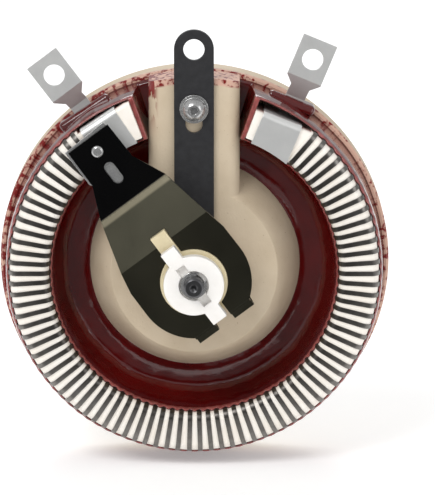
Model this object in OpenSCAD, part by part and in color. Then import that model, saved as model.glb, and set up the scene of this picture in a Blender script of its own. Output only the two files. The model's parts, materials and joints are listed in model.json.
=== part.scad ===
// Ring rheostat, 5 inch class: a ceramic dish, a C-shaped ceramic core wound with
// resistance ribbon, and a turning arm whose brush runs over the turns.
// Heights below are measured from the mounting face towards the winding side.

/* [Base] */
// Diameter of the ceramic base
base_d = 127; // [120:0.5:140]
// Thickness of the base plate under the core
plate_h = 13; // [10:0.5:16]
// Height of the centre boss and of the rib
boss_h = 28.5; // [26:0.5:30]
// Diameter of the boss at its foot
boss_foot_d = 71; // [66:0.5:76]
// Diameter of the boss at its top
boss_top_d = 56; // [50:0.5:60]
// Width of the flat top of the rib
rib_w = 20.8; // [18:0.2:24]
// Radius of the rounded shoulders of the rib
rib_round = 4.2; // [3:0.2:5]
// Depth of the ring-shaped recess in the mounting side
back_recess = 6; // [4:0.5:8]
// Diameter of the locating peg on the mounting face
peg_d = 3.2; // [2.5:0.1:4.5]
// Height of the locating peg
peg_h = 2.4; // [1.5:0.1:3]
// Distance of the locating peg from the shaft
peg_reach = 16; // [14:0.5:19]

/* [Core and winding] */
// Outer diameter over the winding
ring_outer_d = 119.6; // [116:0.2:121]
// Inner diameter inside the winding
ring_inner_d = 92.6; // [90:0.2:98]
// Height of the winding's running face
ring_top = 33; // [31:0.5:36]
// Radius of the core's two upper edges
core_round = 2.6; // [1.5:0.1:4]
// Half the angle of the gap between the core's ends
core_gap_half = 20.5; // [18:0.5:23]
// Half the angle that stays free of turns
winding_gap_half = 40.6; // [40:0.2:45]
// Number of turns of ribbon
turns = 80; // [60:1:84]
// Width of the ribbon
ribbon_w = 1.5; // [1:0.1:1.9]
// Thickness of the ribbon
ribbon_t = 0.35; // [0.2:0.05:0.6]
// Thickness of the vitreous enamel at the foot of the core
enamel_t = 1.4; // [0.8:0.1:2]
// How far the enamel stays below the running face
enamel_drop = 3.4; // [2.8:0.2:6]

/* [End terminals] */
// Thickness of the terminal metal
terminal_t = 0.8; // [0.6:0.05:1]
// Width of the band round the core
band_w = 13; // [11:0.5:14]
// Width of the terminal tab
tab_w = 11.6; // [10:0.2:13]
// Length of the flat of the terminal tab
tab_l = 13.4; // [12:0.2:16]
// Width of the neck of the terminal
neck_w = 6.4; // [5:0.2:8]
// Diameter of the screw holes in all three terminals
terminal_hole_d = 6.75; // [5:0.05:7]
// Height of the terminal tabs
tab_h = 20.5; // [18:0.5:24]
// Height of the terminal necks at the core
neck_h = 15.5; // [14.5:0.5:17]
// Distance of the tab holes from the shaft, along the tab
tab_reach = 77; // [75:0.5:82]

/* [Centre terminal] */
// Width of the centre bar
bar_w = 12.7; // [11:0.1:15]
// Thickness of the centre bar
bar_t = 1.6; // [1:0.1:2]
// Distance of the centre bar's hole from the shaft
bar_reach = 72.2; // [70:0.2:78]
// Distance of the clamping screw from the shaft
screw_reach = 53.2; // [50:0.2:55]
// Width of the slot under the clamping screw
slot_w = 5.4; // [4.6:0.1:6]
// Distance of the slot's inner end from the shaft
slot_inner = 45.4; // [42:0.2:47]
// Diameter of the clamping screw
screw_d = 4.2; // [3.5:0.1:4.5]
// Outer diameter of the slip ring
slip_outer_d = 28.8; // [27:0.2:30]
// Inner diameter of the slip ring
slip_inner_d = 22.4; // [22:0.2:24]
// Thickness of the slip ring
slip_t = 1.5; // [1:0.1:2]

/* [Contact arm] */
// Angle between the arm's stops and the terminal side
stop_angle = 36.8; // [34:0.2:38]
// Thickness of the arm's spring steel
arm_t = 0.8; // [0.5:0.05:1]
// Height of the arm's upper face at the hub
arm_top = 44.7; // [43:0.1:46]
// Diameter of the arm's round tail
arm_tail_d = 36.8; // [34:0.2:38]
// Distance of the arm's square end from the shaft
arm_reach = 56; // [53:0.2:58]
// Width of the arm's head
head_w = 15.6; // [13:0.2:17]
// Half the width of the arm at its upper bend
arm_waist = 12.8; // [11:0.2:14]
// Length of the brush
brush_l = 9; // [7:0.2:11]
// Width of the brush
brush_w = 6.4; // [4:0.2:8]
// Gap between the brush and the turns it runs over
brush_gap = 0.05; // [0.03:0.01:0.1]

/* [Hub and shaft] */
// Diameter of the shaft
shaft_d = 6.35; // [5:0.05:6.35]
// Height of the shaft's end on the winding side
shaft_top = 53.8; // [52:0.2:56]
// Diameter of the hub's key-shaped top
hub_key_d = 21.4; // [20:0.2:21.6]
// Diameter of the hub cap
cap_d = 19.2; // [17:0.2:20]
// Width of the hub cap's two ears
ear_w = 5.2; // [4:0.1:6]
// Reach of the hub cap's ears from the shaft
ear_reach = 14; // [12:0.2:15]
// Height of the hub cap's top
cap_top = 50.2; // [49:0.1:51]
// Diameter of the cross pin that drives the hub
pin_d = 3; // [2:0.1:3]

/* [Bushing and panel nut] */
// Outer diameter of the bushing's thread
bushing_d = 9.525; // [8:0.005:11]
// Length of the bushing in front of the mounting face
bushing_l = 12.7; // [11.5:0.1:14]
// Diameter of the bushing's flange
flange_d = 19; // [17:0.2:22]
// Thickness of the bushing's flange
flange_t = 2.4; // [1.5:0.1:3]
// Thickness of the panel that the nut is set for
panel_t = 3.2; // [1:0.1:3.6]
// Width across the flats of the nuts on the bushing
nut_flats = 14.2; // [13:0.1:14.3]
// Thickness of the nuts on the bushing
nut_t = 2.6; // [2:0.1:3]

/* [Knob] */
// Diameter of the knob's skirt
skirt_d = 38; // [34:0.5:44]
// Height of the knob
knob_h = 25; // [23:0.5:28]
// Diameter of the knob's grip at its top
grip_top_d = 23.4; // [21:0.2:25]
// Diameter of the knob's grip at the skirt
grip_foot_d = 26.4; // [25:0.2:28]
// Height of the skirt's edge
skirt_edge = 2.4; // [1.5:0.1:3]
// Width of the pointer ridge
ridge_w = 5.4; // [4:0.2:7]
// Gap between the knob and the panel
knob_gap = 1; // [0.6:0.1:2]
// Diameter of the set screws
set_screw_d = 4.2; // [3:0.1:4.4]

/* [Hidden] */
$fn = 96;
// Gap between pieces that seat on or in each other
seat = 0.05;
// Radial clearance of a running fit
running = 0.03;
// Overlap that makes two shapes one
join = 0.2;
// Smallest step that keeps two faces from lying in one plane
hair = 0.02;
// Reach past everything, for cutting tools
far = 200;

ring_ro = ring_outer_d / 2;
ring_ri = ring_inner_d / 2;
core_ro = ring_ro - ribbon_t - seat;
core_ri = ring_ri + ribbon_t + seat;
core_bottom = plate_h + ribbon_t + seat;
core_top = ring_top - ribbon_t - seat;
end_block_angle = winding_gap_half - 1.4;
turn_pitch = (360 - 2 * winding_gap_half) / (turns - 1);

// Each end terminal: direction of its band, middle of the band beside that direction,
// distance of the band's flat outer wall, place and turn of its tab.
left_end = [6.6 - winding_gap_half, 2.4, 59, -2.2, -3];
band_round = 2.2;
band_floor = 20;
right_end = [winding_gap_half - 18.1, 7, 57.4, 9.2, 0];

bar_top = boss_h + bar_t;
slip_top = bar_top + slip_t;
eye_d = slip_outer_d;
head_top = ring_top + 4.7;
plate_t = 0.8;
rivet_reach = arm_reach - 5;
arm_slot = arm_reach - 15.7;
bend_inner = 15.8;
bend_outer = 32.5;
leg_end = 14.8;
leg_gap = 6.2;
leg_w = 7.6;

shoulder_d = 26;
hub_body_d = 18.8;
hub_bottom = boss_h + 0.25;
key_top = arm_top + 0.7;
key_tongue_w = 5.4;
key_tongue_reach = 19.3;
cap_bottom = key_top + 1.2;
cap_floor = cap_top - 1.7;
clip_t = 0.9;
groove_depth = 0.6;

recess_d = 21.6;
recess_floor = boss_h - 6.5;
pin_h = hub_bottom - 0.15;
bushing_top = pin_h - pin_d / 2 - 0.9;
pin_long = recess_d / 2 - 0.5;
pin_short = 6;

panel_front = -panel_t;
washer_t = 0.9;
knob_bottom = panel_front - knob_gap;
knob_top = knob_bottom - knob_h;
bushing_front = -bushing_l;
insert_front = bushing_front - clip_t - 0.6;
insert_back = knob_top + 2.6;
shaft_front = insert_back + 0.5;
insert_d = 12;
set_screw_h = insert_front - set_screw_d / 2 - 0.4;

ceramic = [0.86, 0.80, 0.68];
steel = [0.72, 0.73, 0.75];
black_steel = [0.10, 0.10, 0.11];

// ---- helpers ----

// Turns the working frame so that its z runs along the shaft, towards the winding side,
// and its y points to the terminals.
module on_shaft() rotate([90, 0, 0]) children();

// Points y towards an angle, counted clockwise from the terminal side.
module facing(angle) rotate([0, 0, -angle]) children();

// The rest position of everything that turns with the arm.
module on_arm() on_shaft() facing(-stop_angle) children();

module tube(outer_d, inner_d, from, to) {
    translate([0, 0, from]) difference() {
        cylinder(d = outer_d, h = to - from);
        translate([0, 0, -1]) cylinder(d = inner_d, h = to - from + 2);
    }
}

// Polygon of a bent strip: a centre line given by points, with square ends.
function unit(v) = v / norm(v);
function normal(v) = [-v.y, v.x];
function strip_side(points, shift) = [for (i = [0:len(points) - 1])
    let (before = unit(points[max(i, 1)] - points[max(i, 1) - 1]),
        last = len(points) - 2,
        after = unit(points[min(i, last) + 1] - points[min(i, last)]),
        middle = unit(normal(before) + normal(after)))
    points[i] + middle * shift / (middle * normal(after))];
module strip_shape(points, thickness) {
    left = strip_side(points, thickness / 2);
    right = strip_side(points, -thickness / 2);
    count = len(points);
    polygon(concat(left, [for (i = [count - 1:-1:0]) right[i]]));
}

// Raises a profile drawn in y and height along x, centred on x = 0.
module across(width) {
    rotate([90, 0, 90]) translate([0, 0, -width / 2]) linear_extrude(width) children();
}

// Section of the ring with its upper edges rounded: x is the radius, y the height.
module ring_section(inner, outer, bottom, top, round) {
    translate([inner, bottom]) square([outer - inner, top - round - bottom]);
    translate([inner + round, bottom]) square([outer - inner - 2 * round, top - bottom]);
    for (x = [inner + round, outer - round])
        translate([x, top - round]) circle(round);
}

// ---- base ----

module rib() {
    shoulder = boss_h - rib_round;
    intersection() {
        rotate([90, 0, 180]) linear_extrude(base_d / 2) {
            translate([-rib_w / 2, plate_h - join]) square([rib_w, boss_h - plate_h + join]);
            translate([-rib_w / 2 - rib_round, plate_h - join])
                square([rib_w + 2 * rib_round, shoulder - plate_h + join]);
            for (side = [-1, 1])
                translate([side * rib_w / 2, shoulder]) circle(rib_round);
        }
        cylinder(d = base_d - 0.8, h = far);
    }
}

// The block that stops the cross pin at both ends of its turn.
module pin_stop() {
    intersection() {
        tube(recess_d + 1, nut_flats / cos(30) + 0.4, recess_floor - join, boss_h);
        difference() {
            linear_extrude(far) polygon([[0, 0],
                [-far * sin(stop_angle), far * cos(stop_angle)],
                [far * sin(stop_angle), far * cos(stop_angle)]]);
            for (side = [-1, 1])
                facing(side * stop_angle)
                    translate([-pin_d / 2 - 0.1, 0, -1]) cube([pin_d + 0.2, far, far]);
        }
    }
}

module base() color(ceramic) on_shaft() {
    edge = 1.6;
    difference() {
        union() {
            rotate_extrude() polygon([[0, 0], [base_d / 2 - edge, 0], [base_d / 2, edge],
                [base_d / 2, plate_h - 0.8], [base_d / 2 - 0.8, plate_h],
                [boss_foot_d / 2, plate_h], [boss_top_d / 2, boss_h - 1.3],
                [boss_top_d / 2 - 1.2, boss_h], [0, boss_h]]);
            rib();
        }
        translate([0, 0, -1]) cylinder(d = bushing_d + 0.4, h = boss_h + 2);
        translate([0, 0, -1]) cylinder(d = flange_d + 2 * seat, h = flange_t + seat + 1);
        translate([0, 0, recess_floor]) cylinder(d = recess_d, h = boss_h);
        rotate_extrude() polygon([[24, -1], [54.5, -1], [54, back_recess], [25, back_recess]]);
        translate([0, screw_reach, -1]) cylinder(d = screw_d + 0.6, h = boss_h + 2);
        translate([0, screw_reach, -1]) cylinder(d = 10.6, h = back_recess + 5.4, $fn = 6);
    }
    pin_stop();
    translate([peg_reach, 0, -peg_h]) cylinder(d = peg_d, h = peg_h + join);
}

// ---- core, winding and enamel ----

// What the flat outer wall of an end terminal's band leaves of the core.
module band_side(end, inset) {
    facing(end[0]) translate([-far / 2, 0]) square([far, end[2] - inset]);
}

// Plan of one end of the core, from the winding to the gap.
module core_end(end) {
    side = sign(end[0]);
    span = [for (a = [core_gap_half, end_block_angle + 1]) side * a];
    intersection() {
        difference() {
            circle(r = core_ro);
            circle(r = ring_ri + terminal_t + seat);
        }
        polygon([[0, 0], for (a = span) [far * sin(a), far * cos(a)]]);
        band_side(end, terminal_t + seat);
    }
}

module core() color([0.93, 0.90, 0.84]) on_shaft() {
    rotate([0, 0, 90 + end_block_angle]) rotate_extrude(angle = 360 - 2 * end_block_angle)
        ring_section(core_ri, core_ro, core_bottom, core_top, core_round);
    wrap = terminal_t + seat;
    for (end = [left_end, right_end]) intersection() {
        translate([0, 0, plate_h + wrap]) linear_extrude(far) core_end(end);
        facing(end[0]) across(far) ring_section(band_floor, end[2] - wrap, plate_h,
            ring_top - wrap, band_round - terminal_t);
    }
}

// One turn of ribbon over the top and both sides of the core.
module turn() {
    foot = plate_h + ribbon_t / 2;
    rotate([90, 0, 90]) translate([0, 0, -ribbon_w / 2]) linear_extrude(ribbon_w)
        difference() {
            ring_section(ring_ri, ring_ro, foot, ring_top, core_round + ribbon_t);
            ring_section(ring_ri + ribbon_t, ring_ro - ribbon_t, foot - join,
                ring_top - ribbon_t, core_round);
        }
}

// The ribbon's way under the core, from the inner side of one turn to the outer side
// of the next. It is a hair wider than the legs that stand in it.
module crossover() {
    w = ribbon_w / 2 + hair;
    ends = [ring_ri - hair, ring_ri + ribbon_t + hair, ring_ro - ribbon_t - hair,
        ring_ro + hair];
    outer = [for (p = [[w, ends[2]], [w, ends[3]], [-w, ends[3]], [-w, ends[2]]])
        [cos(turn_pitch) * p.x + sin(turn_pitch) * p.y,
            cos(turn_pitch) * p.y - sin(turn_pitch) * p.x]];
    translate([0, 0, plate_h]) linear_extrude(ribbon_t)
        polygon(concat([[-w, ends[1]], [-w, ends[0]], [w, ends[0]], [w, ends[1]]], outer));
}

module winding() color([0.42, 0.42, 0.43]) on_shaft() {
    for (i = [0:turns - 1]) facing(winding_gap_half + i * turn_pitch) {
        turn();
        if (i < turns - 1) crossover();
    }
}

// Section of the enamel: a floor from the boss to the core, and a coat on both its sides.
module enamel_section() {
    floor_h = plate_h + enamel_t;
    foot = boss_foot_d / 2;
    top = ring_top - enamel_drop;
    polygon([[foot - 4, plate_h], [foot - 0.9, floor_h + 0.8], [foot + 1.5, floor_h],
        [ring_ri - 3.2, floor_h], [ring_ri - 1.4, floor_h + 2], [ring_ri - 0.7, top - 3],
        [ring_ri - 0.3, top], [ring_ro + 0.4, top], [ring_ro + 1.1, top - 1.2],
        [ring_ro + 1.4, plate_h + 4], [base_d / 2 - 1.6, plate_h]]);
}

// The enamel leaves room for the C-shaped core and stays low between the core's ends.
module enamel() color([0.36, 0.10, 0.09]) on_shaft() {
    wall_angle = core_gap_half - 3;
    rib_envelope = rib_w + 2 * rib_round + 2 * seat;
    difference() {
        rotate_extrude() enamel_section();
        rotate_extrude() polygon([[0, 0], [boss_foot_d / 2 + seat, plate_h],
            [boss_top_d / 2 + seat, boss_h], [0, boss_h]]);
        translate([-rib_envelope / 2, 0, 0]) cube([rib_envelope, base_d, boss_h]);
        translate([0, 0, plate_h + enamel_t + hair]) linear_extrude(far)
            polygon([[0, 0], for (a = [-wall_angle, wall_angle]) [far * sin(a), far * cos(a)]]);
        rotate([0, 0, 90 + core_gap_half]) rotate_extrude(angle = 360 - 2 * core_gap_half)
            translate([ring_ri - seat, 0]) square([ring_ro - ring_ri + 2 * seat, far]);
        for (end = [left_end, right_end]) lug_solid(end, terminal_t + 2 * seat, neck_w + 2 * seat);
    }
}

// ---- end terminals ----

// Side view of a tab: straight out of the band, up the neck and flat to the end.
function lug_line(end) = [[end[2] - terminal_t, neck_h], [end[2] + 5.6, neck_h],
    [tab_reach - tab_l / 2, tab_h], [tab_reach + tab_l / 2, tab_h]];

module lug_solid(end, thickness, width) {
    tab_start = tab_reach - tab_l / 2;
    facing(end[0]) translate([end[3], tab_reach, 0]) facing(end[4])
        translate([0, -tab_reach, 0]) intersection() {
            across(tab_w) strip_shape(lug_line(end), thickness);
            linear_extrude(far) {
                translate([-width / 2, end[2] - terminal_t])
                    square([width, tab_start - end[2] + 1]);
                polygon([[-neck_w / 2, tab_start - 3.4], [neck_w / 2, tab_start - 3.4],
                    [tab_w / 2, tab_start - 0.6], [tab_w / 2, tab_reach + tab_l / 2],
                    [-tab_w / 2, tab_reach + tab_l / 2], [-tab_w / 2, tab_start - 0.6]]);
            }
        }
}

// Plan of the band, grown or shrunk by an inset from its two walls.
module band_plan(end, inset) {
    intersection() {
        difference() {
            circle(r = far);
            circle(r = ring_ri + inset);
        }
        facing(end[0]) translate([end[1] - band_w / 2 - inset, band_floor])
            square([band_w + 2 * inset, end[2] - inset - band_floor]);
    }
}

module band_body(end, inset) {
    height = ring_top - inset;
    intersection() {
        translate([0, 0, plate_h + inset]) linear_extrude(far) band_plan(end, inset);
        facing(end[0]) across(far) ring_section(band_floor, end[2] - inset, plate_h - 1,
            height, band_round - inset);
    }
}

module end_terminal(end) color(steel) on_shaft() {
    difference() {
        union() {
            difference() {
                band_body(end, 0);
                band_body(end, terminal_t);
            }
            lug_solid(end, terminal_t, neck_w);
        }
        facing(end[0]) translate([end[3], tab_reach, 0])
            cylinder(d = terminal_hole_d, h = far);
    }
}

module left_terminal() end_terminal(left_end);

module right_terminal() end_terminal(right_end);

// ---- centre terminal and its screw ----

module centre_terminal() color([0.22, 0.22, 0.23]) on_shaft() {
    translate([0, 0, boss_h]) linear_extrude(bar_t) difference() {
        union() {
            translate([-bar_w / 2, 0]) square([bar_w, bar_reach]);
            translate([0, bar_reach]) circle(d = bar_w);
            circle(d = eye_d);
        }
        translate([0, bar_reach]) circle(d = terminal_hole_d);
        circle(d = slip_inner_d);
        for (y = [slot_inner + slot_w / 2, screw_reach + 2])
            translate([0, y]) circle(d = slot_w);
        translate([-slot_w / 2, slot_inner + slot_w / 2])
            square([slot_w, screw_reach + 2 - slot_inner - slot_w / 2]);
    }
}

module slip_ring() color([0.75, 0.50, 0.30]) on_shaft()
    tube(slip_outer_d, slip_inner_d, bar_top, slip_top);

clamp_washer_t = 0.8;
clamp_lock_t = 1;
clamp_head_h = 2.6;
clamp_nut_t = 3;
clamp_nut_floor = back_recess + 4.4;

module clamp_flat_washer() color(steel) on_shaft() translate([0, screw_reach, 0])
    tube(9.2, screw_d + 0.3, bar_top, bar_top + clamp_washer_t);

module clamp_lock_washer() color(steel) on_shaft() translate([0, screw_reach, 0]) {
    bottom = bar_top + clamp_washer_t;
    difference() {
        tube(7.8, screw_d + 0.3, bottom, bottom + clamp_lock_t);
        translate([0, 0, bottom - 1]) rotate([0, 0, 25]) cube([far, 0.7, clamp_lock_t + 2]);
    }
}

module clamp_screw() color(steel) on_shaft() translate([0, screw_reach, 0]) {
    seat_h = bar_top + clamp_washer_t + clamp_lock_t;
    difference() {
        union() {
            translate([0, 0, 3]) cylinder(d = screw_d, h = seat_h - 3 + join);
            translate([0, 0, seat_h]) rotate_extrude() polygon([[0, 0], [3.5, 0],
                [3.5, 1], [2.6, clamp_head_h - 0.5], [1.9, clamp_head_h], [0, clamp_head_h]]);
        }
        translate([0, 0, seat_h + 1]) cylinder(d = 2.9, h = clamp_head_h, $fn = 6);
    }
}

module clamp_nut() color(steel) on_shaft() translate([0, screw_reach, 0])
    difference() {
        translate([0, 0, clamp_nut_floor - clamp_nut_t])
            cylinder(d = 10.4, h = clamp_nut_t, $fn = 6);
        cylinder(d = screw_d + 2 * running, h = far);
    }

// ---- bushing and nuts ----

module bushing() color([0.78, 0.66, 0.35]) on_shaft() difference() {
    rotate_extrude() polygon([[0, bushing_front], [bushing_d / 2 - 0.6, bushing_front],
        [bushing_d / 2, bushing_front + 0.6], [bushing_d / 2, 0], [flange_d / 2, 0],
        [flange_d / 2, flange_t], [bushing_d / 2, flange_t], [bushing_d / 2, bushing_top],
        [0, bushing_top]]);
    translate([0, 0, bushing_front - 1])
        cylinder(d = shaft_d + 2 * running, h = bushing_top - bushing_front + 2);
}

module bushing_nut(bottom, turned) translate([0, 0, bottom]) rotate([0, 0, turned])
    intersection() {
        difference() {
            cylinder(d = nut_flats / cos(30), h = nut_t, $fn = 6);
            translate([0, 0, -1]) cylinder(d = bushing_d + 2 * running, h = nut_t + 2);
        }
        rotate_extrude() polygon([[0, 0], [nut_flats / 2, 0], [nut_flats, 1.5 * nut_t / 2],
            [nut_flats / 2, nut_t], [0, nut_t]]);
    }

module bushing_locknut() color(steel) on_shaft() bushing_nut(recess_floor, 12);

module panel_nut() color(steel) on_shaft()
    bushing_nut(panel_front - washer_t - nut_t, 30);

module panel_washer() color(steel) on_shaft() {
    teeth = 12;
    difference() {
        tube(16, bushing_d + 0.4, panel_front - washer_t, panel_front);
        for (i = [0:teeth - 1]) rotate([0, 0, i * 360 / teeth])
            translate([6.6, -0.5, -far / 2]) cube([far, 1, far]);
    }
}

// ---- shaft and hub ----

module shaft() color([0.30, 0.30, 0.32]) on_arm() {
    r = shaft_d / 2;
    g = r - groove_depth;
    difference() {
        rotate_extrude() polygon([[0, shaft_front], [r - 0.6, shaft_front],
            [r, shaft_front + 0.6], [r, bushing_front - clip_t], [g, bushing_front - clip_t],
            [g, bushing_front], [r, bushing_front], [r, cap_floor], [g, cap_floor],
            [g, cap_floor + clip_t], [r, cap_floor + clip_t], [r, shaft_top - 0.6],
            [r - 0.6, shaft_top], [0, shaft_top]]);
        translate([0, 0, shaft_top - 1.2]) cylinder(d1 = 0.2, d2 = 2.8, h = 1.3);
        translate([0, -far / 2, pin_h]) rotate([-90, 0, 0]) cylinder(d = pin_d + seat, h = far);
    }
}

// Split ring that snaps into a groove of the shaft.
module snap_ring(bottom, outer_d) {
    difference() {
        tube(outer_d, shaft_d - 2 * groove_depth + 2 * seat, bottom + seat,
            bottom + clip_t - seat);
        translate([-1.6, -far, bottom - 1]) cube([3.2, far, clip_t + 2]);
    }
}

module shaft_clip() color(steel) on_arm() snap_ring(bushing_front - clip_t, 9);

module retaining_ring() color(steel) on_arm() rotate([0, 0, 100])
    snap_ring(cap_floor, 8.6);

module thrust_washer() color([0.75, 0.62, 0.36]) on_arm()
    tube(9, shaft_d + 0.3, bushing_top + seat, pin_h - pin_d / 2 - seat);

module drive_pin() color(steel) on_arm() translate([0, -pin_short, pin_h])
    rotate([-90, 0, 0]) cylinder(d = pin_d, h = pin_short + pin_long);

// Outline that fills the opening of the arm: a round with a tongue towards the brush.
module key_outline(gap) {
    circle(d = hub_key_d + 2 * gap);
    translate([-key_tongue_w / 2 - gap, 0])
        square([key_tongue_w + 2 * gap, key_tongue_reach + gap]);
}

module drive_hub() color([0.88, 0.84, 0.74]) on_arm() difference() {
    union() {
        translate([0, 0, hub_bottom]) cylinder(d = hub_body_d, h = arm_top - hub_bottom);
        translate([0, 0, arm_top - arm_t - 3]) cylinder(d = shoulder_d, h = 3 - seat);
        translate([0, 0, arm_top - arm_t - 2.4]) linear_extrude(key_top - arm_top + arm_t + 2.4)
            key_outline(0);
    }
    translate([0, 0, hub_bottom - 1]) cylinder(d = shaft_d + 2 * seat, h = far);
    translate([-pin_d / 2 - seat, -hub_body_d, hub_bottom - 1])
        cube([pin_d + 2 * seat, 2 * hub_body_d, pin_h + pin_d / 2 + seat - hub_bottom + 1]);
}

module hub_cap() color([0.95, 0.94, 0.93]) on_arm() difference() {
    union() {
        translate([0, 0, key_top]) cylinder(d = cap_d - 2.4, h = cap_top - key_top - 1);
        translate([0, 0, cap_bottom]) cylinder(d = cap_d, h = cap_top - cap_bottom);
        for (side = [0, 180]) rotate([0, 0, side])
            translate([-ear_w / 2, 0, cap_bottom])
                cube([ear_w, ear_reach, cap_top - cap_bottom]);
    }
    translate([0, 0, key_top - 1]) cylinder(d = shaft_d + 2 * seat, h = far);
    translate([0, 0, cap_floor]) cylinder(d = 9.4, h = far);
    translate([-1.55, -7.3, cap_floor]) cube([3.1, 14.6, far]);
}

// ---- contact arm ----

// Plan of the arm: a round tail that narrows to a square head.
module arm_plan() {
    r = arm_tail_d / 2;
    half = [[r, 0], [r - 0.1, 9], [16.9, bend_inner], [arm_waist, bend_outer],
        [head_w / 2 + 0.2, 43.2], [head_w / 2, arm_reach]];
    difference() {
        union() {
            circle(r);
            polygon(concat(half, [for (i = [len(half) - 1:-1:0]) [-half[i].x, half[i].y]]));
        }
        key_outline(0.15);
        translate([-leg_gap / 2, -far]) square([leg_gap, far]);
        translate([-far / 2, -far - leg_end]) square([far, far]);
        translate([0, rivet_reach]) circle(d = 2.5 + 2 * seat);
        for (y = [arm_slot, arm_slot + 4.3]) translate([0, y]) circle(d = 3.5);
        translate([-1.75, arm_slot]) square([3.5, 4.3]);
    }
}

// Folded foot of one leg, from the leg's end down to the slip ring.
module leg_foot() {
    middle = arm_top - arm_t / 2;
    foot_t = 0.6;
    tip = slip_top + seat + foot_t / 2;
    translate([leg_gap / 2 + leg_w / 2, 0, 0]) across(leg_w) strip_shape([
        [-leg_end + 1, middle], [-leg_end - 0.5, middle], [-leg_end - 0.7, middle - 1.9],
        [-leg_end - 2.6, middle - 2.1], [-leg_end - 2.6, middle - 3.4],
        [-11, tip + 1.2], [-10.2, tip], [-9.2, tip], [-8.4, tip + 1]], foot_t);
}

module contact_arm() color(black_steel) on_arm() {
    middle = arm_top - arm_t / 2;
    low = head_top - arm_t / 2;
    intersection() {
        linear_extrude(far) arm_plan();
        across(far) strip_shape([[-far, middle], [bend_inner, middle], [bend_outer, low],
            [far, low]], arm_t);
    }
    for (side = [0, 1]) mirror([side, 0, 0]) leg_foot();
}

module brush_plate() color(steel) on_arm() {
    top = head_top - arm_t - seat;
    translate([0, 0, top - plate_t]) linear_extrude(plate_t) difference() {
        polygon([[-5.2, 37.4], [5.2, 37.4], [head_w / 2 - 0.6, 44], [head_w / 2 - 0.6, arm_reach + 1.3],
            [-head_w / 2 - 0.9, arm_reach + 0.6], [-head_w / 2 - 0.9, 44]]);
        translate([0, rivet_reach]) circle(d = 2.5 + 2 * seat);
    }
}

module brush() color([0.25, 0.20, 0.17]) on_arm() {
    top = head_top - arm_t - plate_t - 2 * seat;
    middle = (ring_ri + ring_ro) / 2 - 1;
    difference() {
        translate([-brush_w / 2, middle - brush_l / 2, ring_top + brush_gap])
            cube([brush_w, brush_l, top - ring_top - brush_gap]);
        translate([0, rivet_reach, top - 1.4]) cylinder(d = 2.5 + 2 * seat, h = 3);
    }
}

module brush_rivet() color(steel) on_arm() translate([0, rivet_reach, 0]) {
    bottom = head_top - arm_t - plate_t - 1.3;
    translate([0, 0, bottom]) cylinder(d = 2.5, h = head_top - bottom + join);
    translate([0, 0, head_top + seat]) rotate_extrude()
        polygon([[0, 0], [1.9, 0], [1.9, 0.3], [1.3, 0.8], [0, 0.8]]);
}

// ---- knob ----

module knob() color([0.06, 0.06, 0.06]) on_arm() difference() {
    foot = knob_bottom - skirt_edge;
    union() {
        rotate_extrude() polygon([[0, knob_bottom], [skirt_d / 2 - 0.5, knob_bottom],
            [skirt_d / 2, knob_bottom - 0.5], [skirt_d / 2, foot], [skirt_d / 2 - 1.6, foot - 0.8],
            [grip_foot_d / 2 + 2, foot - 3.2], [grip_foot_d / 2, foot - 5],
            [grip_top_d / 2, knob_top + 1.6], [grip_top_d / 2 - 1.2, knob_top],
            [0, knob_top]]);
        translate([-ridge_w / 2, 0, knob_top]) cube([ridge_w, skirt_d / 2 - 2.2, knob_h - 4]);
    }
    translate([0, 0, insert_front]) cylinder(d = 24, h = far);
    translate([0, 0, insert_back - 0.2]) cylinder(d = insert_d + 2 * seat, h = far);
    for (side = [-1, 1]) facing(side * 47 + 180)
        translate([0, 0, set_screw_h]) rotate([-90, 0, 0])
            cylinder(d = set_screw_d + 2 * seat, h = far);
    translate([-1.2, skirt_d / 2 - 7, knob_top - 1]) cube([2.4, far, 4]);
}

module knob_insert() color([0.78, 0.62, 0.30]) on_arm() difference() {
    translate([0, 0, insert_back]) cylinder(d = insert_d, h = insert_front - insert_back);
    translate([0, 0, insert_back - 1]) cylinder(d = shaft_d + 2 * running, h = far);
    for (side = [-1, 1]) facing(side * 47 + 180)
        translate([0, 0, set_screw_h]) rotate([-90, 0, 0])
            cylinder(d = set_screw_d + 2 * seat, h = far);
}

module set_screws() color(steel) on_arm() for (side = [-1, 1]) facing(side * 47 + 180)
    translate([0, shaft_d / 2 + seat, set_screw_h]) rotate([-90, 0, 0]) difference() {
        cylinder(d = set_screw_d, h = 6.4);
        translate([-far / 2, -0.4, 5.2]) cube([far, 0.8, 3]);
    }

module pointer_mark() color([0.80, 0.80, 0.80]) on_arm()
    translate([-1.1, skirt_d / 2 - 6.9, knob_top]) cube([2.2, 4.6, 3]);

base();
core();
winding();
enamel();
left_terminal();
right_terminal();
centre_terminal();
slip_ring();
clamp_screw();
clamp_lock_washer();
clamp_flat_washer();
clamp_nut();
bushing();
bushing_locknut();
panel_washer();
panel_nut();
shaft();
shaft_clip();
thrust_washer();
drive_pin();
drive_hub();
hub_cap();
retaining_ring();
contact_arm();
brush_plate();
brush();
brush_rivet();
knob();
knob_insert();
set_screws();
pointer_mark();
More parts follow.
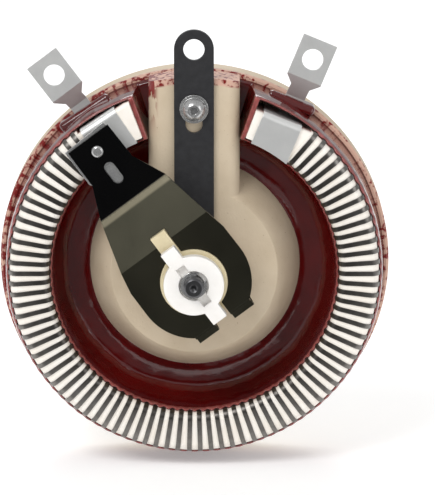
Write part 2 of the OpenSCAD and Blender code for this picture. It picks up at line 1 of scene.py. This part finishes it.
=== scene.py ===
# Wirewound ring rheostat: looks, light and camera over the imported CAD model.
import math
import bmesh
import bpy
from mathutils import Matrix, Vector
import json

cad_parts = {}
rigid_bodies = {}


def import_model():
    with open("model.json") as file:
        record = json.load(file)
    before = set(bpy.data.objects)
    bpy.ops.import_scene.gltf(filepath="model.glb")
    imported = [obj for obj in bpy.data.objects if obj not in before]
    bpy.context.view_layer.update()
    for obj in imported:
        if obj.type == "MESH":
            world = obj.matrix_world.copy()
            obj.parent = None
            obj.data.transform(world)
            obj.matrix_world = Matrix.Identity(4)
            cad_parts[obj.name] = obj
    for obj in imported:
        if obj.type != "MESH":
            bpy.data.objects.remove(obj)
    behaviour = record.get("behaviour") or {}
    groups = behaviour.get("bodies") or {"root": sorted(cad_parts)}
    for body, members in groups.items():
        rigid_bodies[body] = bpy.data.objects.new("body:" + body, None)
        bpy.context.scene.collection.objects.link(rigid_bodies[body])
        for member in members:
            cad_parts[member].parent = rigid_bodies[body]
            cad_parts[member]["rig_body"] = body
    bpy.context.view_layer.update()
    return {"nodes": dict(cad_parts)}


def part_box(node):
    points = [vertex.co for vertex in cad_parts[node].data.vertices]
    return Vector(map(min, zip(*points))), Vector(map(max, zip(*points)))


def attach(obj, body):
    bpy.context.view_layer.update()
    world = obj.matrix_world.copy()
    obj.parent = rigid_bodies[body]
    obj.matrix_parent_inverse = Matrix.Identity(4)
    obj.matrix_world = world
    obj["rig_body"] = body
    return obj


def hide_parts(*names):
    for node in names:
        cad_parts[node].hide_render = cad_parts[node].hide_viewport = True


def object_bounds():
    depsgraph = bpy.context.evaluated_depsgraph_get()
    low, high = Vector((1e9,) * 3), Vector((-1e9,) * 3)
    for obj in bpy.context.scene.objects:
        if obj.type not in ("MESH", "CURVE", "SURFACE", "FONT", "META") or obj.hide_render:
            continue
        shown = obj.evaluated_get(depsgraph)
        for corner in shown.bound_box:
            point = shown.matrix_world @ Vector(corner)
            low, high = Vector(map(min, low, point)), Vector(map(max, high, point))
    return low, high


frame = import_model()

# ---- shared helpers ----
# Wire lets shader sockets take part in arithmetic; Finish builds one material.
MM = 0.001
BODY_OF = {name: obj["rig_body"] for name, obj in frame["nodes"].items()}


class Wire:
    def __init__(self, finish, socket):
        self.finish = finish
        self.socket = socket

    def __add__(self, other):
        return self.finish.math("ADD", self, other)

    def __sub__(self, other):
        return self.finish.math("SUBTRACT", self, other)

    def __rsub__(self, other):
        return self.finish.math("SUBTRACT", other, self)

    def __mul__(self, other):
        return self.finish.math("MULTIPLY", self, other)

    def __pow__(self, other):
        return self.finish.math("POWER", self, other)

    __radd__ = __add__
    __rmul__ = __mul__


class Finish:
    def __init__(self, name):
        self.material = bpy.data.materials.new(name)
        self.material.use_nodes = True
        self.tree = self.material.node_tree
        self.tree.nodes.clear()
        place = self.node("TexCoord", out="Object")
        self.place = self.node("VectorMath", {0: place, 3: 1 / MM}, operation="SCALE")
        axes = self.tree.nodes.new("ShaderNodeSeparateXYZ")
        self.tree.links.new(self.place.socket, axes.inputs[0])
        self.x, self.y, self.z = (Wire(self, out) for out in axes.outputs)
        self.height = 0 - self.y
        self.radius = (self.x * self.x + self.z * self.z) ** 0.5

    def node(self, kind, inputs=None, out=0, **settings):
        made = self.tree.nodes.new("ShaderNode" + kind)
        for key, value in settings.items():
            setattr(made, key, value)
        for key, value in (inputs or {}).items():
            if isinstance(value, Wire):
                self.tree.links.new(value.socket, made.inputs[key])
            else:
                made.inputs[key].default_value = value
        return Wire(self, made.outputs[out]) if made.outputs else None

    def math(self, operation, first, second):
        return self.node("Math", {0: first, 1: second}, operation=operation)

    def noise(self, size, detail=3.0, stretch=(1, 1, 1)):
        where = self.node("VectorMath", {0: self.place, 1: stretch}, operation="MULTIPLY")
        return self.node("TexNoise", {"Vector": where, "Scale": 1 / size, "Detail": detail})

    def step(self, value, low, high):
        return self.node("MapRange", {"Value": value, "From Min": low, "From Max": high},
                         interpolation_type="SMOOTHSTEP")

    def mix(self, factor, first, second):
        made = {0: factor, 6: first, 7: second}
        return self.node("Mix", made, out=2, data_type="RGBA")

    def surface(self, color, roughness, bump=None, lift=0.05, **constants):
        inputs = {"Base Color": color, "Roughness": roughness}
        inputs.update({key.replace("_", " "): value for key, value in constants.items()})
        if bump is not None:
            inputs["Normal"] = self.node("Bump", {"Height": bump, "Strength": 1.0,
                                                  "Distance": lift * MM})
        shader = self.node("BsdfPrincipled", inputs)
        self.node("OutputMaterial", {"Surface": shader})
        return self.material


def rgb(red, green, blue):
    return tuple((c / 255) ** 2.2 for c in (red, green, blue)) + (1,)


# ---- ceramic, enamel and glaze ----
# Tan ceramic with fine specks; enamel spatters its rim and runs down the rib.
def ceramic_body():
    f = Finish("ceramic_body")
    cloud = f.mix(f.noise(9), rgb(208, 192, 168), rgb(184, 166, 140))
    specks = f.step(f.noise(0.55, 2), 0.70, 0.76) * f.step(f.noise(4), 0.45, 0.6)
    color = f.mix(specks, cloud, rgb(120, 88, 62))
    rim = f.step(f.radius, 60.6, 61.4) * f.step(f.height, 9, 12)
    blush = f.mix(rim * 0.6, color, rgb(206, 150, 136))
    left = f.step(f.x, 30, -50)
    drops = f.step(f.noise(1.9, 5) + left * 0.10, 0.51, 0.64)
    flank = f.step(f.height, 13.5, 15) * f.step(f.x, -11, -13) * f.step(f.z, 43, 60)
    runs = flank * f.step(f.noise(1.5, 3, (1, 0.35, 0.25)), 0.47, 0.53)
    red = f.math("MAXIMUM", rim * drops, runs)
    tinted = f.mix(red, blush, rgb(122, 32, 30))
    grain = f.noise(0.8, 4) + red * 0.8
    return f.surface(tinted, 0.62 - red * 0.4, grain, 0.09)


def white_ceramic():
    f = Finish("white_ceramic")
    color = f.mix(f.noise(6), rgb(250, 246, 240), rgb(238, 228, 214))
    # Painted shade: the core turns pinkish grey below its top face, where less light falls.
    low = f.step(f.height, 31.5, 28.5)
    return f.surface(f.mix(low * 0.6, color, rgb(214, 150, 140)), 0.34, f.noise(1.2), 0.04)


def vitreous_enamel():
    f = Finish("vitreous_enamel")
    color = f.mix(f.noise(11), rgb(98, 15, 14), rgb(58, 6, 8))
    # Painted highlight: a pale pink band along the top of the coat, where the bead rounds over.
    edge = f.step(f.height, 27.4, 29.8)
    color = f.mix(edge * f.noise(2) * 0.9, color, rgb(196, 110, 106))
    waves = f.noise(7, 1) + f.noise(1.6, 2) * 0.12
    return f.surface(color, 0.10 + f.noise(3) * 0.05, waves, 0.55, Coat_Weight=0.6,
                     Coat_Roughness=0.04)


def cream_ceramic():
    f = Finish("cream_ceramic")
    color = f.mix(f.noise(3), rgb(224, 212, 178), rgb(205, 190, 152))
    return f.surface(color, 0.5, f.noise(0.6, 4), 0.05)


def white_glazed_cap():
    f = Finish("white_glazed_cap")
    color = f.mix(f.noise(4), rgb(246, 244, 241), rgb(234, 230, 224))
    return f.surface(color, 0.3 + f.noise(2) * 0.1, f.noise(1.0), 0.03, Coat_Weight=0.3)


# ---- metals, carbon and plastic ----
# Every metal has its own tint, and a fine grain that varies its shine.
def metal(name, bright, dark, roughness, size, lift=0.02, stretch=(1, 1, 1), metallic=1.0):
    f = Finish(name)
    grain = f.noise(size, 4, stretch)
    shine = grain * 0.16 + (roughness - 0.08)
    return f.surface(f.mix(f.noise(size * 5), bright, dark), shine, grain, lift,
                     Metallic=metallic)


def resistance_ribbon():
    f = Finish("resistance_ribbon")
    # Painted shading: ribbons lighter toward the outer edge of the ring, darker toward the inner edge.
    color = f.mix(f.step(f.radius, 47.5, 58.5), rgb(96, 94, 92), rgb(150, 147, 143))
    color = f.mix(f.noise(2.2), color, rgb(88, 84, 80))
    return f.surface(color, 0.26 + f.noise(1.1) * 0.18, f.noise(0.5), 0.02, Metallic=1.0)


def spring_steel():
    f = Finish("spring_steel")
    color = f.mix(f.noise(14, 2), rgb(24, 24, 26), rgb(34, 34, 34))
    # Painted reflection: the slope and tail above the bend are olive, while the head stays black.
    painted_reflection = f.step(f.height, 37.74, 38.2)
    color = f.mix(painted_reflection, color, f.mix(f.noise(18, 1), rgb(82, 80, 68), rgb(50, 49, 42)))
    # Painted highlight: a lighter strip along the bend between head and slope.
    bend = f.step(f.height, 37.74, 37.9) * f.step(f.height, 38.9, 38.5)
    color = f.mix(bend * 0.8, color, rgb(128, 122, 104))
    scratches = f.noise(0.7, 5, (1, 1, 0.15))
    return f.surface(color, 0.16 + scratches * 0.12 + painted_reflection * 0.1, scratches, 0.006, Metallic=0.9)


def plastic(name, first, second, roughness):
    f = Finish(name)
    return f.surface(f.mix(f.noise(3), first, second), roughness + f.noise(0.8) * 0.12,
                     f.noise(0.35, 4), 0.03)


steel_light = rgb(232, 232, 230)
MATERIALS = {
    "ceramic_body": ceramic_body(),
    "white_ceramic": white_ceramic(),
    "resistance_ribbon": resistance_ribbon(),
    "vitreous_enamel": vitreous_enamel(),
    "tinned_steel": metal("tinned_steel", rgb(236, 236, 234), rgb(212, 213, 212), 0.36, 1.4, 0.03,
                          metallic=0.6),
    "black_oxide_steel": metal("black_oxide_steel", rgb(72, 72, 74), rgb(54, 54, 56), 0.45, 0.5,
                               0.03, metallic=0.55),
    "copper_alloy": metal("copper_alloy", rgb(206, 150, 104), rgb(176, 116, 78), 0.3, 1.2),
    "plated_steel": metal("plated_steel", rgb(214, 214, 212), rgb(160, 160, 162), 0.24, 0.8,
                          metallic=0.8),
    "brass_metal": metal("brass_metal", rgb(212, 182, 110), rgb(180, 146, 80), 0.3, 1.0),
    "shaft_steel": metal("shaft_steel", rgb(120, 120, 122), rgb(84, 84, 86), 0.34, 0.6),
    "cream_ceramic": cream_ceramic(),
    "white_glazed_cap": white_glazed_cap(),
    "spring_steel": spring_steel(),
    "graphite": metal("graphite", rgb(84, 72, 64), rgb(52, 46, 42), 0.5, 0.5, 0.04, metallic=0.5),
    "black_plastic": plastic("black_plastic", rgb(30, 30, 31), rgb(20, 20, 21), 0.42),
    "marker_paint": plastic("marker_paint", rgb(206, 206, 204), rgb(180, 180, 178), 0.5),
}


# ---- pieces that follow a CAD node ----
# The node's shape with softened edges; the copy is merged first, since it is loose triangles.
def show(name, bm, body, slot, sharp=50):
    for face in bm.faces:
        face.smooth = True
    for edge in bm.edges:
        edge.smooth = edge.calc_face_angle(0) < math.radians(sharp)
    bmesh.ops.recalc_face_normals(bm, faces=bm.faces)
    mesh = bpy.data.meshes.new(name)
    bm.to_mesh(mesh)
    bm.free()
    mesh.materials.append(MATERIALS[slot])
    obj = bpy.data.objects.new(name, mesh)
    bpy.context.scene.collection.objects.link(obj)
    flat = obj.modifiers.new("flat faces stay flat", "WEIGHTED_NORMAL")
    flat.keep_sharp = True
    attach(obj, body)
    return obj


def softened(node, slot, width, corner=30, segments=2):
    bm = bmesh.new()
    bm.from_mesh(frame["nodes"][node].data)
    bmesh.ops.remove_doubles(bm, verts=bm.verts, dist=0.003 * MM)
    bmesh.ops.dissolve_limit(bm, angle_limit=math.radians(0.4), verts=bm.verts, edges=bm.edges)
    corners = [e for e in bm.edges if e.is_manifold and e.calc_face_angle(0) > math.radians(corner)]
    bmesh.ops.bevel(bm, geom=corners, offset=width * MM, offset_type="OFFSET",
                    segments=segments, profile=0.5, affect="EDGES", clamp_overlap=True,
                    material=-1)
    bmesh.ops.triangulate(bm, faces=[f for f in bm.faces if len(f.verts) > 4])
    obj = show(node + "_look", bm, BODY_OF[node], slot)
    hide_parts(node)
    return obj


SOFTENED = {
    "base": ("ceramic_body", 0.5), "core": ("white_ceramic", 0.3),
    "left_terminal": ("tinned_steel", 0.15), "right_terminal": ("tinned_steel", 0.15),
    "centre_terminal": ("black_oxide_steel", 0.25), "slip_ring": ("copper_alloy", 0.15),
    "clamp_screw": ("plated_steel", 0.12), "clamp_lock_washer": ("plated_steel", 0.12),
    "clamp_flat_washer": ("plated_steel", 0.12), "clamp_nut": ("plated_steel", 0.15),
    "bushing": ("brass_metal", 0.12), "bushing_locknut": ("plated_steel", 0.12),
    "panel_washer": ("plated_steel", 0.1), "panel_nut": ("plated_steel", 0.12),
    "shaft": ("shaft_steel", 0.15), "shaft_clip": ("plated_steel", 0.12),
    "thrust_washer": ("brass_metal", 0.08), "drive_pin": ("plated_steel", 0.15),
    "drive_hub": ("cream_ceramic", 0.2), "hub_cap": ("white_glazed_cap", 0.3),
    "retaining_ring": ("plated_steel", 0.15), "contact_arm": ("spring_steel", 0.12, 18),
    "brush_plate": ("plated_steel", 0.12), "brush": ("graphite", 0.1),
    "brush_rivet": ("plated_steel", 0.12), "knob": ("black_plastic", 0.35),
    "knob_insert": ("brass_metal", 0.15), "set_screws": ("plated_steel", 0.1),
    "pointer_mark": ("marker_paint", 0.05),
}
for node, how in SOFTENED.items():
    softened(node, *how)
# ---- the winding ----
# One ribbon swept over the core turn by turn, with a crossover under it between turns.
def box_mm(node):
    low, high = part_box(node)
    return low / MM, high / MM


wind_low, wind_high = box_mm("winding")
_, base_high = box_mm("base")
RING_TOP = -wind_low.y
RING_OUT = (wind_high.x - wind_low.x) / 2
RING_WIDTH = 13.5
RING_IN = RING_OUT - RING_WIDTH
PLATE = 13.0
TURNS = 80
HALF_GAP = 40.6
RIBBON_W = 1.5
RIBBON_T = 0.35
BEND = 2.95
turn_angles = [HALF_GAP + i * (360 - 2 * HALF_GAP) / (TURNS - 1) for i in range(TURNS)]


def place(angle, radius, height):
    turn = math.radians(angle)
    return Vector((radius * math.sin(turn), -height, radius * math.cos(turn))) * MM


def loop_of_turn(angle, lean):
    inner = RING_IN + RIBBON_T / 2
    outer = RING_OUT - RIBBON_T / 2 - 0.02
    top = RING_TOP - RIBBON_T / 2
    bend = BEND - RIBBON_T / 2
    steps = [math.radians(15 * k) for k in range(7)]
    path = [(outer, PLATE + 0.25), (outer, PLATE + 8)]
    path += [(outer - bend + bend * math.cos(t), top - bend + bend * math.sin(t)) for t in steps]
    path += [(inner + bend - bend * math.sin(t), top - bend + bend * math.cos(t)) for t in steps]
    path += [(inner, PLATE + 8), (inner, PLATE + 0.25)]
    last = len(path) - 1
    return [(angle + lean * (i / last - 0.5), r, h) for i, (r, h) in enumerate(path)]


def wind():
    uneven = math.radians(137.5)
    stations = []
    for i, angle in enumerate(turn_angles):
        shifted = angle + 0.10 * math.sin(3 * i * uneven)
        stations += loop_of_turn(shifted, 0.25 * math.sin(i * uneven))
    points = [place(*station) for station in stations]
    bm = bmesh.new()
    half_w = RIBBON_W / 2 * MM
    half_t = RIBBON_T / 2 * MM
    edge = 0.09 * MM
    outline = [(half_w, half_t - edge), (half_w - edge, half_t), (edge - half_w, half_t),
               (-half_w, half_t - edge), (-half_w, edge - half_t), (edge - half_w, -half_t),
               (half_w - edge, -half_t), (half_w, edge - half_t)]
    rings = []
    for i, point in enumerate(points):
        along = (points[min(i + 1, len(points) - 1)] - points[max(i - 1, 0)]).normalized()
        turn = math.radians(stations[i][0])
        wide = Vector((math.cos(turn), 0, -math.sin(turn)))
        wide = (wide - along * wide.dot(along)).normalized()
        up = along.cross(wide)
        rings.append([bm.verts.new(point + wide * u + up * v) for u, v in outline])
    for one, two in zip(rings, rings[1:]):
        for k in range(8):
            bm.faces.new((one[k - 1], one[k], two[k], two[k - 1]))
    bm.faces.new(rings[0])
    bm.faces.new(reversed(rings[-1]))
    obj = show("winding_ribbon", bm, "stator", "resistance_ribbon")
    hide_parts("winding")


wind()


# ---- the vitreous enamel ----
# A closed ring: floor, fillets and a coat on both sides of the core, higher between turns.
FLOOR = PLATE + 1.4
FOOT = 35.5
COAT_TOP = RING_TOP - 3.4
RIM = base_high.x - 1.5
WALL_END = 17.3
CORE_END = 20.5


def smooth(value):
    value = min(max(value, 0.0), 1.0)
    return value * value * (3 - 2 * value)


def ripple(angle, seed, pace):
    turn = math.radians(angle) * pace
    return math.sin(turn + seed) * math.sin(turn * 0.37 + 2 * seed)


def enamel_ring(angle):
    away = min(angle, 360 - angle)
    raised = smooth((away - WALL_END) / 1.8)
    pitch = turn_angles[1] - turn_angles[0]
    between = 0.5 - 0.5 * math.cos(2 * math.pi * (angle - HALF_GAP) / pitch)
    wound = smooth((away - HALF_GAP + 2) / 2)
    top = COAT_TOP + wound * (0.75 * between - 0.25) + 0.25 * ripple(angle, 1, 11)
    top = FLOOR + (top - FLOOR) * raised
    middle = top - 0.25 if away < CORE_END + 0.05 else PLATE - 0.6
    swell = 0.22 * ripple(angle, 4, 7) + 0.14 * ripple(angle, 2, 23)
    lift = FLOOR + 0.25 * ripple(angle, 3, 5)
    rise = max(top - lift, 0.0)
    tuck = 0.45 * wound * between
    return [(FOOT - 3, PLATE - 1), (FOOT - 2.4, lift + 1.5), (FOOT - 0.9, lift + 0.9),
            (FOOT + 0.3, lift + 0.3), (FOOT + 2, lift), (RING_IN - 5.4, lift),
            (RING_IN - 3.6 + swell, lift + 0.05 * rise), (RING_IN - 2.2 + swell, lift + 0.17 * rise),
            (RING_IN - 1.45 + swell, lift + 0.40 * rise), (RING_IN - 1.0 + swell / 2, lift + 0.70 * rise),
            (RING_IN - 0.75 + tuck / 2, lift + 0.90 * rise), (RING_IN - 0.45 + tuck, lift + 0.98 * rise),
            (RING_IN - 0.05 + tuck, lift + rise), (RING_IN + 0.9, middle), (RING_OUT - 0.9, middle),
            (RING_OUT + 0.05 - tuck, lift + rise), (RING_OUT + 0.5, lift + 0.97 * rise),
            (RING_OUT + 0.95, lift + 0.88 * rise), (RING_OUT + 1.2 + swell / 3, lift + 0.6 * rise),
            (RING_OUT + 1.45 + swell / 3, lift + 0.2 * rise), (RING_OUT + 1.8 + swell / 3, PLATE + 0.5),
            (RIM + swell / 2, PLATE + 0.05), (RIM, PLATE - 1)]


def pour_enamel():
    angles = [0.5 * k for k in range(720)]
    angles += [side + 0.25 * k for side in (16.25, 338.75) for k in range(20)]
    angles += [CORE_END + 0.1, 360 - CORE_END - 0.1]
    bm = bmesh.new()
    rings = [[bm.verts.new(place(angle, r, h)) for r, h in enamel_ring(angle)]
             for angle in sorted(set(angles))]
    count = len(rings[0])
    for i, ring in enumerate(rings):
        before = rings[i - 1]
        for k in range(count):
            bm.faces.new((before[k - 1], before[k], ring[k], ring[k - 1]))
    obj = show("enamel_coat", bm, "stator", "vitreous_enamel", 70)
    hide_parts("enamel")


pour_enamel()


# Thick beads of enamel that bury the terminal necks between the core and the rim.
BEAD_REACH = 62.5


def neck_bead(name, direction, aside, half_width):
    bm = bmesh.new()
    bmesh.ops.create_cube(bm, size=1)
    inner = RING_OUT - 0.6
    outer = BEAD_REACH
    under = PLATE - 1
    over = PLATE + 6.2
    turn = math.radians(direction)
    for vert in bm.verts:
        along = aside + vert.co.x * 2 * half_width
        reach = (inner + outer) / 2 + vert.co.y * (outer - inner)
        height = (under + over) / 2 + vert.co.z * (over - under) - (0.9 if vert.co.y > 0 else 0)
        x = along * math.cos(turn) + reach * math.sin(turn)
        up = reach * math.cos(turn) - along * math.sin(turn)
        vert.co = Vector((x, -height, up)) * MM
    bmesh.ops.bevel(bm, geom=list(bm.edges), offset=1.25 * MM, offset_type="OFFSET", segments=5,
                    profile=0.5, affect="EDGES", clamp_overlap=True, material=-1)
    show(name, bm, "stator", "vitreous_enamel", 70)


neck_bead("enamel_left_bead", -34, -1.4, 9.5)
neck_bead("enamel_right_bead", 22.5, 8.6, 8.0)


# ---- floor, light and camera ----
# A white floor that keeps the shadow, a large soft light, a side light and a dark card.
def stage_plane(name, size, place, aim, color, glow=0.0):
    bpy.ops.mesh.primitive_plane_add(size=size, location=place)
    plane = bpy.context.object
    plane.name = name
    plane.rotation_euler = (Vector(aim) - Vector(place)).to_track_quat("Z", "Y").to_euler()
    material = bpy.data.materials.new(name)
    material.use_nodes = True
    shader = material.node_tree.nodes["Principled BSDF"]
    shader.inputs["Base Color"].default_value = color
    shader.inputs["Roughness"].default_value = 0.9
    shader.inputs["Emission Color"].default_value = color
    shader.inputs["Emission Strength"].default_value = glow
    plane.data.materials.append(material)
    return plane


lowest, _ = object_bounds()
floor_z = lowest.z - 0.001
stage_plane("floor", 6, (0, 0, floor_z), (0, 0, 5), (0.9, 0.9, 0.9, 1), 0.3)
for name, size, spot, aim, shade in (("dark_card", 0.9, (0, -1.5, -0.03), (0, 0, 0.02), 0.01),
                                     ("dark_floor", 1.4, (0, -0.81, floor_z + 0.001),
                                      (0, -0.81, 5), 0.16)):
    card = stage_plane(name, size, spot, aim, (shade, shade, shade, 1))
    card.visible_camera = False
    card.visible_shadow = False
    card.visible_diffuse = False


def soft_light(name, place, size, watts, aim=(0, 0, 0)):
    data = bpy.data.lights.new(name, "AREA")
    data.energy = watts
    data.size = size
    lamp = bpy.data.objects.new(name, data)
    bpy.context.scene.collection.objects.link(lamp)
    lamp.location = place
    lamp.rotation_euler = (Vector(place) - Vector(aim)).to_track_quat("Z", "Y").to_euler()


soft_light("key", (-0.5, -0.75, 0.9), 0.6, 8)
soft_light("fill", (0.9, -0.7, 0.35), 0.7, 2.5)
soft_light("back", (0.0, 0.9, 0.9), 0.8, 6)

world = bpy.data.worlds.new("studio")
bpy.context.scene.world = world
world.use_nodes = True
tree = world.node_tree
seen = tree.nodes.new("ShaderNodeLightPath")
glow = tree.nodes.new("ShaderNodeMapRange")
tree.links.new(seen.outputs["Is Camera Ray"], glow.inputs["Value"])
glow.inputs["To Min"].default_value = 0.5
glow.inputs["To Max"].default_value = 1.0
background = tree.nodes["Background"]
background.inputs["Color"].default_value = (1, 1, 1, 1)
tree.links.new(glow.outputs[0], background.inputs["Strength"])

camera_data = bpy.data.cameras.new("camera")
camera_data.lens = 85
camera = bpy.data.objects.new("camera", camera_data)
bpy.context.scene.collection.objects.link(camera)
bpy.context.scene.camera = camera
distance = 1.0
elevation = math.radians(12.5)
view_width = 141.5055 * MM
aim = Vector((7.482 * MM, -18 * MM, 5.367 * MM))
toward = Vector((0, -math.cos(elevation), math.sin(elevation)))
camera.location = aim + toward * distance
camera.rotation_euler = toward.to_track_quat("Z", "Y").to_euler()
camera_data.sensor_fit = "HORIZONTAL"
camera_data.angle = 2 * math.atan(view_width / 2 / distance)
scene = bpy.context.scene
scene.view_settings.view_transform = "Standard"
